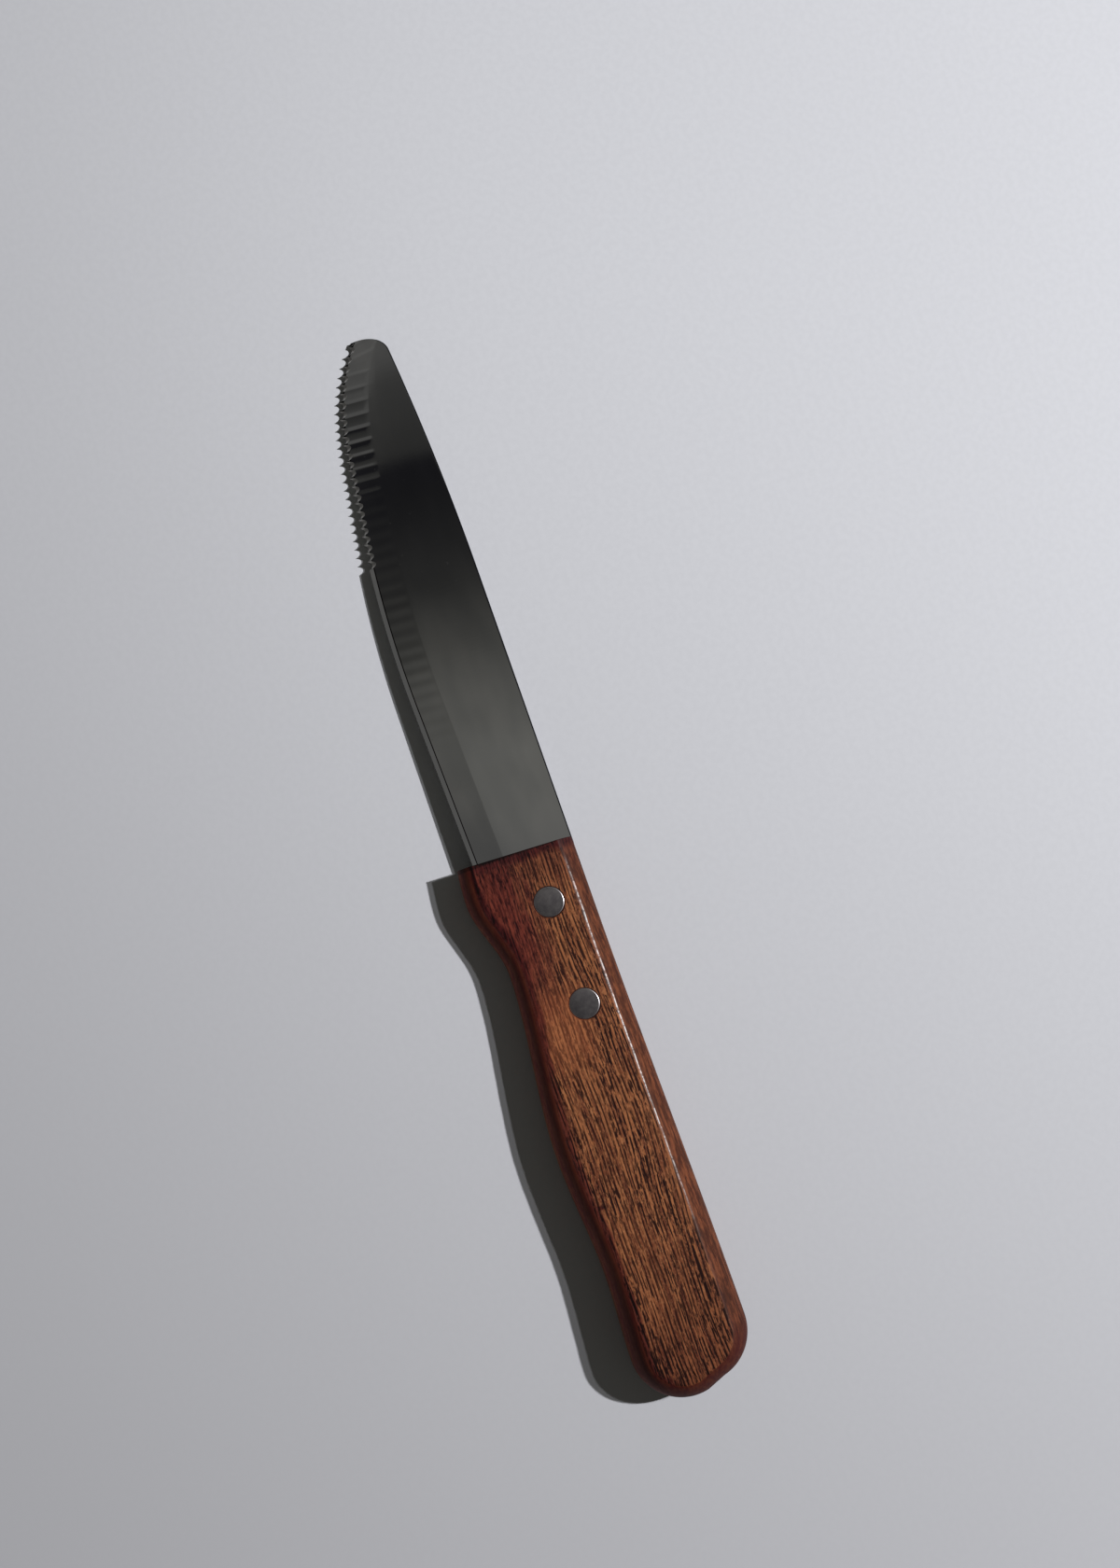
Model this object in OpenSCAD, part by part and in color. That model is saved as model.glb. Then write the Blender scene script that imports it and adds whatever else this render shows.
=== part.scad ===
// Steak knife: a round-nosed, serrated steel blade on a half tang, held in a one-piece
// wooden handle by two pressed rivets. The knife lies on its side as it does on a table,
// on the handle's flat lower face. +X runs to the butt, +Y to the spine, +Z up.
// Inside the modules x is 0 at the handle's front face and y is 0 on the blade's spine.

/* [Blade] */
// Length of the blade in front of the handle
blade_len = 126.8; // [118:0.2:136]
// Thickness of the steel
blade_th = 1.3; // [1:0.1:1.6]
// Depth of the blade from spine to edge at the handle
heel_depth = 23.5; // [22.5:0.1:24.5]
// How much deeper the blade is where its edge stops widening
edge_flare = 1.3; // [0.8:0.1:1.8]
// Distance from the handle to the place where the edge stops widening
edge_turn_at = 39.4; // [35:0.2:44]
// Radius of the long bend of the edge
edge_turn_r = 270; // [250:5:300]
// Length of the tighter bend of the edge, measured from the tip
nose_bend_len = 30.8; // [28:0.2:34]
// How far the tighter bend has raised the edge at the tip
nose_bend_rise = 6.9; // [6:0.1:7.8]
// Length of the falling part of the spine, measured from the tip
spine_fall_len = 61.6; // [54:0.2:66]
// Radius of the falling part of the spine
spine_fall_r = 635; // [580:5:740]
// Half the length of the oval that the nose is ground to
nose_half_len = 4.7; // [4:0.1:5.6]
// Half the depth of the oval that the nose is ground to
nose_half_depth = 6.4; // [5.8:0.1:7]
// Clearance between the nose and the table
tip_gap = 0.3; // [0.1:0.1:1.5]

/* [Grinds] */
// Width of the main bevel from the edge to its shoulder
bevel_w = 7.2; // [6:0.1:9]
// Thickness of the steel where the honed edge starts
bevel_th = 0.5; // [0.4:0.05:0.7]
// Width of the honed edge
hone_w = 1.1; // [0.6:0.1:1.4]
// Thickness left at the cutting edge
edge_th = 0.1; // [0.06:0.02:0.16]

/* [Teeth] */
// Length of the plain edge between the handle and the first tooth
plain_len = 73.6; // [70:0.2:80]
// Distance between two teeth
tooth_pitch = 2.02; // [1.8:0.01:2.2]
// Radius of the grinding wheel's rim that cut the gullets
gullet_r = 1.05; // [0.98:0.01:1.2]
// Depth of a gullet in the lower face of the blade
gullet_depth = 0.85; // [0.6:0.05:1]
// Lean of the gullets, which are deeper in the upper face
gullet_lean = 58; // [45:1:62]

/* [Tang] */
// Length of the tang inside the handle
tang_len = 56; // [50:1:62]
// Depth of the tang's lower edge under the spine line
tang_depth = 18.8; // [17.5:0.1:20.5]
// Depth of the tang's upper edge under the spine line
tang_top = 0.9; // [0.6:0.1:1.5]
// Length of the full-depth heel that is seated in the handle
heel_seat = 2; // [1.5:0.1:3]
// Size of the bevelled corners of the tang
tang_corner = 4; // [3:0.5:5]
// Clearance between the tang and each wall of its slot
slot_gap = 0.05; // [0.03:0.01:0.1]

/* [Handle] */
// Length of the handle
handle_len = 126.3; // [120:0.2:134]
// Thickness of the handle at its front face
front_th = 10.4; // [9.6:0.1:11.2]
// Thickness of the handle at its butt
butt_th = 15; // [14:0.1:16]
// How much farther back the front face lies at its spine side than at its belly side
front_slant = 1; // [0:0.1:1.6]
// Depth of the handle under the spine line at the front face
nose_depth = 26.9; // [26:0.1:27.5]
// Depth of the guard, the first swell of the belly
guard_depth = 27.9; // [27.2:0.1:29]
// Place of the guard along the handle
guard_at = 7.6; // [6:0.1:9]
// Depth at the finger groove
groove_depth = 23.8; // [23:0.1:25]
// Place of the finger groove along the handle
groove_at = 25.6; // [23:0.1:29]
// Depth at the palm swell
swell_depth = 27.2; // [26.4:0.1:28.2]
// Place of the palm swell along the handle
swell_at = 67.6; // [62:0.2:72]
// Depth at the waist behind the palm swell
waist_depth = 25.5; // [24.8:0.1:26.2]
// Place of the waist along the handle
waist_at = 95.6; // [90:0.2:99]
// How much deeper the handle is at its butt than at its waist
butt_flare = 0.65; // [0.2:0.05:1.2]
// Rise of the spine side at the butt, above the spine line
butt_rise = 1.1; // [0.6:0.1:1.8]
// Radius of the butt's corner on the belly side
belly_corner_r = 11.6; // [10.6:0.1:12.4]
// Radius of the butt's corner on the spine side
spine_corner_r = 11.3; // [10.4:0.1:12]
// How much farther back the belly corner reaches than the spine corner
butt_slant = 1.4; // [0.6:0.1:2.4]
// Width of the rounded band along the handle's edges at the front
front_band = 3.2; // [2.8:0.1:3.6]
// Width of the rounded band along the handle's edges at the butt
butt_band = 3.7; // [3.2:0.1:4.2]

/* [Rivets] */
// Distance from the front face to the front rivet
rivet_at = 13; // [12:0.1:15]
// Distance between the two rivets
rivet_pitch = 24; // [22:0.2:27]
// Depth of the rivets under the spine line
rivet_drop = 9.8; // [9:0.1:11]
// Diameter of a rivet head
head_d = 7; // [6.4:0.1:8]
// Thickness of a rivet head
head_th = 1.2; // [1:0.1:1.5]
// Width of the broken edge round a head
head_chamfer = 0.2; // [0.1:0.05:0.3]
// How far a head lies below the wood at its centre
head_recess = 0.1; // [0.08:0.01:0.2]
// Clearance round a head in its counterbore
head_gap = 0.05; // [0.03:0.01:0.1]
// Diameter of the female rivet's shank
shank_d = 4.8; // [4.4:0.1:5.2]
// Clearance round the shank in the wood and the tang
shank_gap = 0.1; // [0.08:0.01:0.15]
// Diameter of the male rivet's pin
pin_d = 3.2; // [2.8:0.1:3.4]
// Clearance between the pin and the shank that it is pressed into
pin_gap = 0.02; // [0.01:0.01:0.04]
// Length left free at the end of the pin and of the shank
end_gap = 0.6; // [0.4:0.1:1]

/* [Hidden] */
// Overrun of every cut, so that it passes clear through
cut = 1;
// Slope of the straight part of the belly of the blade, as a share of length
belly_slope_share = 0.12;
// Most of a station's length that the bevel and the honed edge may take, near the nose
shoulder_share = 0.9;
hone_share = 0.4;
// Where the spine side of the handle starts to rise, as a share of its length
back_start_share = 0.16;
// Steps along the long parts of the blade and round its nose
blade_steps = 46;
nose_steps = 14;
// Halvings of the angle in which the end of the nose is looked for
halvings = 24;
// Steps along the handle's belly, its spine side, each butt corner and the rounded band
belly_steps = 36;
back_steps = 16;
corner_steps = 9;
band_steps = 5;
// Sides of round cuts
fine = 96;

// Lie of the knife: the handle is a wedge on its lower face, and the blade leans to the table
half_wedge = atan((butt_th - front_th) / handle_len / 2);
front_lift = front_th / 2 * cos(half_wedge);
blade_lean = asin((front_lift - blade_th / 2 - tip_gap) / blade_len);
mid_x = (handle_len * cos(half_wedge) - blade_len * cos(blade_lean)) / 2;
mid_y = (butt_rise - guard_depth) / 2;

function between(a, b, t) = a + (b - a) * t;
function clamped(t) = max(0, min(1, t));
function ease(t) = t * t * (3 - 2 * t);
function unit(p) = p / norm(p);

// Height of a smooth line at x, which is level at each of its stations [x, height]
function smooth_line(stations, x, i = 0) =
    i < len(stations) - 2 && x > stations[i + 1].x
        ? smooth_line(stations, x, i + 1)
        : between(
            stations[i].y,
            stations[i + 1].y,
            ease(clamped((x - stations[i].x) / (stations[i + 1].x - stations[i].x)))
        );

// Edge of the blade: depth under the spine line at the distance s from the handle
flare_slope = edge_flare / edge_turn_at;
belly_at = edge_turn_at + edge_turn_r * (flare_slope + belly_slope_share);
nose_bend_at = blade_len - nose_bend_len;
turn_depth = heel_depth + edge_flare;
function bent(slope, r, run) = slope * run - run * run / r / 2;
function edge_depth(s) =
    s < edge_turn_at
        ? heel_depth + flare_slope * s
        : turn_depth
            + bent(flare_slope, edge_turn_r, min(s, belly_at) - edge_turn_at)
            - belly_slope_share * max(0, s - belly_at)
            - nose_bend_rise * pow(max(0, s - nose_bend_at) / nose_bend_len, 3);

// Spine of the blade: straight, then falling in a long arc to the nose
spine_bend_at = blade_len - spine_fall_len;
function spine_drop(s) = pow(max(0, s - spine_bend_at), 2) / spine_fall_r / 2;
nose_at = blade_len - nose_half_len;
nose_slope = (nose_at - spine_bend_at) / spine_fall_r;
nose_drop = spine_drop(nose_at) + norm([nose_half_depth, nose_half_len * nose_slope]);
function nose_point(a) =
    [-nose_at + nose_half_len * cos(a), -nose_drop + nose_half_depth * sin(a)];
nose_start = 90 + atan(nose_slope * nose_half_len / nose_half_depth);

// Height of a point above the line of the edge
function edge_rise(p) = edge_depth(-p.x) + p.y;

// Angle on the nose, past its foremost point, where its outline comes down to the honed edge
function nose_foot_angle(low, high, i = 0) =
    let (a = (low + high) / 2)
    i >= halvings
        ? a
        : edge_rise(nose_point(a)) > hone_w
            ? nose_foot_angle(a, high, i + 1)
            : nose_foot_angle(low, a, i + 1);
nose_end = nose_foot_angle(180, 270);
nose_foot = nose_point(nose_end);

// Half the thickness of the steel at a point, from how far it lies above the edge
function half_steel(p) =
    let (rise = edge_rise(p))
    rise < hone_w
        ? between(edge_th, bevel_th, clamped(rise / hone_w)) / 2
        : between(bevel_th, blade_th, clamped((rise - hone_w) / (bevel_w - hone_w))) / 2;

// Stations along the blade, each a line across it from the spine to the edge
function blade_station(i) =
    i <= blade_steps
        ? let (s = between(-heel_seat, nose_at, i / blade_steps))
            [[-s, -spine_drop(s)], [-s, -edge_depth(s)]]
        : let (
            t = (i - blade_steps) / nose_steps,
            s = between(nose_at, -nose_foot.x, t)
        )
            [nose_point(between(nose_start, nose_end, t)), [-s, -edge_depth(s)]];

// Points across one station: spine, shoulder, honing line and edge, above and below
function across(station) =
    let (
        top = station[0],
        low = station[1],
        rise = edge_rise(top),
        shoulder = between(low, top, min(bevel_w / rise, shoulder_share)),
        hone = between(low, top, min(hone_w / rise, hone_share)),
        rail = [top, shoulder, hone, low]
    )
    concat(
        [for (p = rail) [p.x, p.y, half_steel(p)]],
        [for (i = [len(rail) - 1:-1:0]) [rail[i].x, rail[i].y, -half_steel(rail[i])]]
    );

// Skin of a tube of stations, each a ring of the same number of points, closed at both ends
function skin(rings, ring) = concat(
    [[for (j = [ring - 1:-1:0]) j]],
    [for (i = [0:rings - 2], j = [0:ring - 1])
        let (k = (j + 1) % ring)
        [i * ring + j, i * ring + k, (i + 1) * ring + k, (i + 1) * ring + j]],
    [[for (j = [0:ring - 1]) (rings - 1) * ring + j]]
);

module blade_blank() {
    stations = [for (i = [0:blade_steps + nose_steps]) across(blade_station(i))];
    polyhedron([for (s = stations) each s], skin(len(stations), len(stations[0])));
}

// Outline of the tang, grown by the clearance of the slot where the slot is drawn
function tang_outline(grow, top, front) = [
    [front, top],
    [front, -edge_depth(0) - grow],
    [heel_seat + grow, -edge_depth(0) - grow],
    [heel_seat + grow + tang_corner, -tang_depth - grow],
    [tang_len + grow - tang_corner, -tang_depth - grow],
    [tang_len + grow, -tang_depth - grow + tang_corner],
    [tang_len + grow, top]
];

module tang() {
    intersection() {
        translate([0, 0, -blade_th / 2])
            linear_extrude(blade_th)
                polygon(tang_outline(0, -tang_top, heel_seat));
        translate([tang_len / 2, 0, 0])
            cube([tang_len, heel_depth * 2, blade_th], center = true);
    }
}

module at_rivets() {
    for (i = [0, 1]) translate([rivet_at + i * rivet_pitch, -rivet_drop, 0]) children();
}

// Gullets lean, so each cuts deeper into the upper face than into the lower one
tooth_count = floor((-nose_foot.x - plain_len) / tooth_pitch);
gullet_half = gullet_r / cos(gullet_lean);
gullet_len = bevel_w + gullet_half;
module gullets() {
    for (i = [0:tooth_count - 1]) {
        s = plain_len + (i + 1 / 2) * tooth_pitch;
        translate([-s, gullet_depth - gullet_half - edge_depth(s), -bevel_th / 2])
            rotate([-gullet_lean, 0, 0])
                cylinder(r = gullet_r, h = gullet_len, center = true, $fn = fine);
    }
}

module lay_blade() {
    translate([-mid_x, -mid_y, front_lift]) rotate([0, -blade_lean, 0]) children();
}

module lay_handle() {
    translate([-mid_x, -mid_y, front_lift]) rotate([0, -half_wedge, 0]) children();
}

module blade() {
    color("silver")
        lay_blade()
            difference() {
                union() {
                    blade_blank();
                    tang();
                }
                gullets();
                at_rivets()
                    cylinder(
                        d = shank_d + shank_gap * 4,
                        h = blade_th + cut * 2,
                        center = true,
                        $fn = fine
                    );
            }
}

// Handle in plan: belly line, two butt corners and spine side, from front to front
belly_corner_at = handle_len - belly_corner_r;
spine_corner_at = belly_corner_at - butt_slant;
flare_depth = waist_depth + butt_flare;
belly_line = [
    [-guard_at, -nose_depth],
    [guard_at, -guard_depth],
    [groove_at, -groove_depth],
    [swell_at, -swell_depth],
    [waist_at, -waist_depth],
    [belly_corner_at, -flare_depth]
];
back_line = [
    [handle_len * back_start_share, 0],
    [spine_corner_at, butt_rise]
];
belly_hub = [belly_corner_at, belly_corner_r - flare_depth];
spine_hub = [spine_corner_at, butt_rise - spine_corner_r];
hub_gap = belly_hub - spine_hub;
end_lean = atan(hub_gap.x / -hub_gap.y) - asin((belly_corner_r - spine_corner_r) / norm(hub_gap));

function round_point(hub, r, a) = [hub.x + r * cos(a), hub.y + r * sin(a)];
belly_points = [for (i = [0:belly_steps - 1])
    let (x = between(-front_slant / 2, belly_corner_at, i / belly_steps))
    [x, smooth_line(belly_line, x)]];
belly_corner = [for (i = [0:corner_steps])
    round_point(belly_hub, belly_corner_r, between(-90, end_lean, i / corner_steps))];
spine_corner = [for (i = [0:corner_steps])
    round_point(spine_hub, spine_corner_r, between(end_lean, 90, i / corner_steps))];
back_points = [for (i = [back_steps - 1:-1:0])
    let (x = between(front_slant / 2, spine_corner_at, i / back_steps))
    [x, smooth_line(back_line, x)]];
handle_plan = concat(belly_points, belly_corner, spine_corner, back_points);
plan_count = len(handle_plan);

// Outward direction of the plan at a point, along the front face at that face's two ends
front_lean = front_slant / nose_depth;
function outward(i) =
    i == 0
        ? [-front_lean, -1]
        : i == plan_count - 1
            ? [front_lean, 1]
            : let (d = unit(handle_plan[i + 1] - handle_plan[i - 1])) [d.y, -d.x];

// Half the handle's thickness, and the width of its rounded band, along the handle
function half_wood(x) = between(front_th, butt_th, x / handle_len) / 2;
function band(x) = between(front_band, butt_band, clamped(x / handle_len));

// The band is an arc that leaves the side upright and meets the flat face in a soft edge
function band_point(i, level) =
    let (
        p = handle_plan[i],
        n = outward(i),
        w = band(p.x),
        h = half_wood(p.x - n.x * w),
        sweep = atan(w / h) * 2,
        r = h / sin(sweep),
        a = sweep * abs(level),
        inset = r * (1 - cos(a))
    )
    [p.x - n.x * inset, p.y - n.y * inset, sign(level) * r * sin(a)];

module handle_blank() {
    levels = [for (j = [band_steps:-1:-band_steps]) j / band_steps];
    points = [for (level = levels, i = [0:plan_count - 1]) band_point(i, level)];
    polyhedron(points, skin(len(levels), plan_count));
}

// Slot for the tang, sawn from the front and the spine side
module slot() {
    width = blade_th + slot_gap * 2;
    translate([0, 0, -width / 2])
        linear_extrude(width)
            polygon(tang_outline(slot_gap, butt_rise + cut, -cut));
}

// Height of the underside of a rivet head above the handle's middle, at a rivet
function seat(x) = half_wood(x) - head_recess - head_th;

module rivet_bore() {
    cylinder(d = shank_d + shank_gap * 2, h = butt_th + cut, center = true, $fn = fine);
}

module counterbores(x) {
    for (side = [0, 1])
        mirror([0, 0, side])
            translate([x, -rivet_drop, seat(x)])
                cylinder(d = head_d + head_gap * 2, h = butt_th, $fn = fine);
}

module handle() {
    color("saddlebrown")
        difference() {
            lay_handle() handle_blank();
            lay_blade() slot();
            lay_handle() {
                at_rivets() rivet_bore();
                counterbores(rivet_at);
                counterbores(rivet_at + rivet_pitch);
            }
        }
}

// A head with its outer edge broken, its underside at the height 0
module head() {
    rotate_extrude($fn = fine)
        polygon([
            [0, 0],
            [head_d / 2, 0],
            [head_d / 2, head_th - head_chamfer],
            [head_d / 2 - head_chamfer, head_th],
            [0, head_th]
        ]);
}

module rivet_male(x) {
    pin_len = seat(x) * 2 - end_gap;
    translate([x, -rivet_drop, seat(x)])
        union() {
            head();
            translate([0, 0, -pin_len]) cylinder(d = pin_d, h = pin_len + head_th / 2, $fn = fine);
        }
}

module rivet_female(x) {
    shank_len = seat(x) * 2 - end_gap;
    translate([x, -rivet_drop, -seat(x)])
        difference() {
            union() {
                mirror([0, 0, 1]) head();
                cylinder(d = shank_d, h = shank_len, $fn = fine);
            }
            cylinder(d = pin_d + pin_gap * 2, h = shank_len + cut, $fn = fine);
        }
}

module front_rivet_male() {
    color("gainsboro") lay_handle() rivet_male(rivet_at);
}

module front_rivet_female() {
    color("gainsboro") lay_handle() rivet_female(rivet_at);
}

module rear_rivet_male() {
    color("gainsboro") lay_handle() rivet_male(rivet_at + rivet_pitch);
}

module rear_rivet_female() {
    color("gainsboro") lay_handle() rivet_female(rivet_at + rivet_pitch);
}

blade();
handle();
front_rivet_male();
front_rivet_female();
rear_rivet_male();
rear_rivet_female();
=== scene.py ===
# %% [markdown]
# # A steak knife
# The knife is a ground steel blade whose tang sits in a slot of a one-piece wooden handle, and
# two pairs of pressed rivets that hold the two together. It lies on its side on a pale table.
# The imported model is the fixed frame: its pieces give every place, and each is stood for here by
# a finer piece of the same size.

# %% Load the fixed frame
import math
import bpy
from mathutils import Matrix, Vector


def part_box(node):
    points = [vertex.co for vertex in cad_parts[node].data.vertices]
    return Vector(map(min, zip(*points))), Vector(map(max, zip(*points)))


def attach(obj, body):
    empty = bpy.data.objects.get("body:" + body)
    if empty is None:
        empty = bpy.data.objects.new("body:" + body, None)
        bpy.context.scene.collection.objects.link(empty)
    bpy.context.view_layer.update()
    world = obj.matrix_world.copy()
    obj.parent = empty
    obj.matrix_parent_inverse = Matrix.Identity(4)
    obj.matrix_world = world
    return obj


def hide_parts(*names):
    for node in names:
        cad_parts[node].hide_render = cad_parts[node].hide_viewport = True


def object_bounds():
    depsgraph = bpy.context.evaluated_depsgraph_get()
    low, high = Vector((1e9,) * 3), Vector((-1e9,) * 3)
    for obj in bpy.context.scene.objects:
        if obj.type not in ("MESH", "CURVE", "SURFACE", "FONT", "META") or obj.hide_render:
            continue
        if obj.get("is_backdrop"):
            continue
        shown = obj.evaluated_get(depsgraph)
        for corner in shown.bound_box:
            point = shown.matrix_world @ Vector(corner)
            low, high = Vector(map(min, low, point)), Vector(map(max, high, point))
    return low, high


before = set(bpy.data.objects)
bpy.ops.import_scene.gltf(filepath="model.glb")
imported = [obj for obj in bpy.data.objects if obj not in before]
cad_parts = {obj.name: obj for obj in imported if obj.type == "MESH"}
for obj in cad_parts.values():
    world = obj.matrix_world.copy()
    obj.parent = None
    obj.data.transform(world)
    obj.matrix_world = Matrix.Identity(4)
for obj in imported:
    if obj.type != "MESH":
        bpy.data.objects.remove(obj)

cad_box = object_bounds()
print("frame pieces:", sorted(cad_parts))

# %% [markdown]
# ## How the knife lies
# A maker measures the blade from the handle's front face and from the straight line of the
# spine. So each piece is shaped in those local millimetres first: x runs to the butt, y up to
# the spine, z is 0 at the middle of the steel. Two small angles then lay the pieces down. The
# handle is a wedge that lies on its lower face, and the blade leans until the nose nearly
# touches the table.

# %% Local millimetres and the two angles
MM = 0.001
handle_len = 126.3
blade_len = 126.8
blade_th = 1.3
front_th = 10.4
butt_th = 15.0
guard_depth = 27.9
butt_rise = 1.1
tip_gap = 0.3

half_wedge = math.atan((butt_th - front_th) / handle_len / 2)
front_lift = front_th / 2 * math.cos(half_wedge)
blade_lean = math.asin((front_lift - blade_th / 2 - tip_gap) / blade_len)
handle_run = handle_len * math.cos(half_wedge)
blade_run = blade_len * math.cos(blade_lean)
middle = Vector(((handle_run - blade_run) / 2, (butt_rise - guard_depth) / 2, -front_lift))


def laid(angle):
    """The place of local millimetres in the frame, in metres, tilted by that angle."""
    return (
        Matrix.Scale(MM, 4)
        @ Matrix.Translation(-middle)
        @ Matrix.Rotation(-angle, 4, "Y")
    )


on_blade = laid(blade_lean)
on_handle = laid(half_wedge)
print("lean of the blade %.2f degrees, of the handle %.2f degrees" % (
    math.degrees(blade_lean), math.degrees(half_wedge)))

# %% [markdown]
# ## A few hand movements
# Every operator acts on what is selected, so a helper clears the selection and picks one piece.
# A piece is shaped in local millimetres and put in its place at the very end, in its mesh, so
# that its object stays at the origin and no pattern slides on it.

# %% Pick, open and place a piece
def only(piece):
    """Selects one piece and nothing else."""
    bpy.ops.object.select_all(action="DESELECT")
    piece.select_set(True)
    bpy.context.view_layer.objects.active = piece


def edit(piece):
    """Opens a piece in edit mode with nothing selected."""
    only(piece)
    bpy.ops.object.mode_set(mode="EDIT")
    bpy.ops.mesh.select_all(action="DESELECT")


def done():
    """Closes edit mode."""
    bpy.ops.object.mode_set(mode="OBJECT")


def face_outwards():
    """Turns every face of the open piece outwards."""
    bpy.ops.mesh.select_all(action="SELECT")
    bpy.ops.mesh.normals_make_consistent(inside=False)


def place_points(piece, where):
    """Moves every point of a piece to where(point) says."""
    for vertex in piece.data.vertices:
        vertex.co = where(vertex.co)
    piece.data.update()


def settle(piece, place):
    """Puts a piece shaped in local millimetres in its place in the frame."""
    piece.data.transform(piece.matrix_basis)
    piece.matrix_basis = Matrix.Identity(4)
    piece.data.transform(place)
    piece.data.update()


# %% [markdown]
# ## Tubes and plates
# The blade and the handle are both long forms whose section changes all the way. The way to
# make them by hand is to take a flat grid, roll it into a tube, and press each of its rings to
# the section at its place. The seam is then merged and the two open ends are filled. A plate
# with straight sides needs only its outline, which is filled and extruded.

# %% Roll a sheet, extrude a plate
weld_distance = 0.0005


def rolled_sheet(name, rings, seats, point):
    """A grid rolled into a tube. point(ring, seat) is the place of one of its points."""
    bpy.ops.object.select_all(action="DESELECT")
    bpy.ops.mesh.primitive_grid_add(x_subdivisions=seats, y_subdivisions=rings - 1, size=1)
    sheet = bpy.context.active_object
    sheet.name = name
    place_points(sheet, lambda co: Vector(point(
        round((co.y + 0.5) * (rings - 1)), round((co.x + 0.5) * seats) % seats)))
    edit(sheet)
    bpy.ops.mesh.select_all(action="SELECT")
    bpy.ops.mesh.remove_doubles(threshold=weld_distance)
    bpy.ops.mesh.fill_holes(sides=0)
    face_outwards()
    done()
    return sheet


def plate(name, outline, low, high):
    """A flat plate: a filled circle with its points moved to the outline, then extruded."""
    bpy.ops.object.select_all(action="DESELECT")
    bpy.ops.mesh.primitive_circle_add(vertices=len(outline), radius=1, fill_type="NGON")
    flat = bpy.context.active_object
    flat.name = name
    for vertex, (x, y) in zip(flat.data.vertices, outline):
        vertex.co = (x, y, low)
    edit(flat)
    bpy.ops.mesh.select_all(action="SELECT")
    bpy.ops.mesh.extrude_region_move(TRANSFORM_OT_translate={"value": (0, 0, high - low)})
    face_outwards()
    done()
    return flat


# %% [markdown]
# ## Cutters
# Slot, bores, seats and gullets are cut from the real blanks with saws, drills and wheels. A
# round bar of the tool's size, taken out of the blank by a boolean modifier, does the same and
# leaves true edges. Cutters that don't touch are joined first, so that one cut serves for all.

# %% Round bars and cuts
rod_sides = 64


def rod(name, centre, radius, length, lean=0.0, sides=rod_sides):
    """A round cutter on a centre, leant about the x axis."""
    bpy.ops.object.select_all(action="DESELECT")
    bpy.ops.mesh.primitive_cylinder_add(
        vertices=sides, radius=radius, depth=length, location=centre, rotation=(lean, 0, 0))
    bar = bpy.context.active_object
    bar.name = name
    bpy.ops.object.transform_apply(location=True, rotation=True, scale=True)
    return bar


def cut(piece, cutters):
    """Takes each cutter's shape out of a piece, and throws the cutter away."""
    for cutter in cutters:
        only(piece)
        bpy.ops.object.modifier_add(type="BOOLEAN")
        tool = piece.modifiers[-1]
        tool.operation = "DIFFERENCE"
        tool.solver = "EXACT"
        tool.object = cutter
        bpy.ops.object.modifier_apply(modifier=tool.name)
        bpy.data.objects.remove(cutter)


def joined(cutters):
    """Several cutters that don't touch, as one."""
    bpy.ops.object.select_all(action="DESELECT")
    for cutter in cutters:
        cutter.select_set(True)
    bpy.context.view_layer.objects.active = cutters[0]
    bpy.ops.object.join()
    return bpy.context.active_object


# %% [markdown]
# ## Shares
# A section that changes along a piece is a mix of two others, by a share between 0 and 1. An
# eased share starts and ends gently, which keeps a ground or sanded form free of kinks.

# %% Between, held and eased
def blended(a, b, share):
    """The value a share of the way from a to b."""
    return a + (b - a) * share


def clamped(value):
    """A value held between 0 and 1."""
    return max(0.0, min(1.0, value))


def eased(value):
    """A share that starts and ends gently."""
    value = clamped(value)
    return value * value * (3 - 2 * value)


# %% [markdown]
# ## The blade's outline
# The spine is straight and then falls in a long arc to a round nose. The edge widens a little,
# turns through a long bend, runs straight and bends up to the nose. These lines are formulas,
# so that the grinds below can ask how high any point lies above the edge.

# %% Spine and edge of the blade
heel_depth = 23.5
edge_flare = 1.3
edge_turn_at = 39.4
edge_turn_r = 270
belly_slope = 0.12
nose_bend_len = 30.8
nose_bend_rise = 6.9
spine_fall_len = 61.6
spine_fall_r = 635
nose_half_len = 4.7
nose_half_depth = 6.4
flare_slope = edge_flare / edge_turn_at
belly_at = edge_turn_at + edge_turn_r * (flare_slope + belly_slope)


def edge_depth(s):
    """Depth of the edge under the spine line, at the distance s from the handle."""
    if s < edge_turn_at:
        return heel_depth + flare_slope * s
    run = min(s, belly_at) - edge_turn_at
    bend = max(0.0, s - blade_len + nose_bend_len) / nose_bend_len
    return (
        heel_depth + edge_flare + flare_slope * run - run * run / edge_turn_r / 2
        - belly_slope * max(0.0, s - belly_at) - nose_bend_rise * bend ** 3
    )


def spine_drop(s):
    """How far the spine has fallen at the distance s from the handle."""
    return max(0.0, s - blade_len + spine_fall_len) ** 2 / spine_fall_r / 2


# %% The oval nose
nose_at = blade_len - nose_half_len
nose_slope = (nose_at - blade_len + spine_fall_len) / spine_fall_r
nose_drop = spine_drop(nose_at) + math.hypot(nose_half_depth, nose_half_len * nose_slope)


def nose_point(angle):
    """A point of the oval nose."""
    return (
        -nose_at + nose_half_len * math.cos(angle),
        -nose_drop + nose_half_depth * math.sin(angle),
    )


def edge_rise(x, y):
    """Height of a point above the line of the edge."""
    return edge_depth(-x) + y


print("edge at the handle and at its deepest: %.1f and %.1f mm under the spine" % (
    edge_depth(0), max(edge_depth(s) for s in range(int(blade_len)))))

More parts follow.
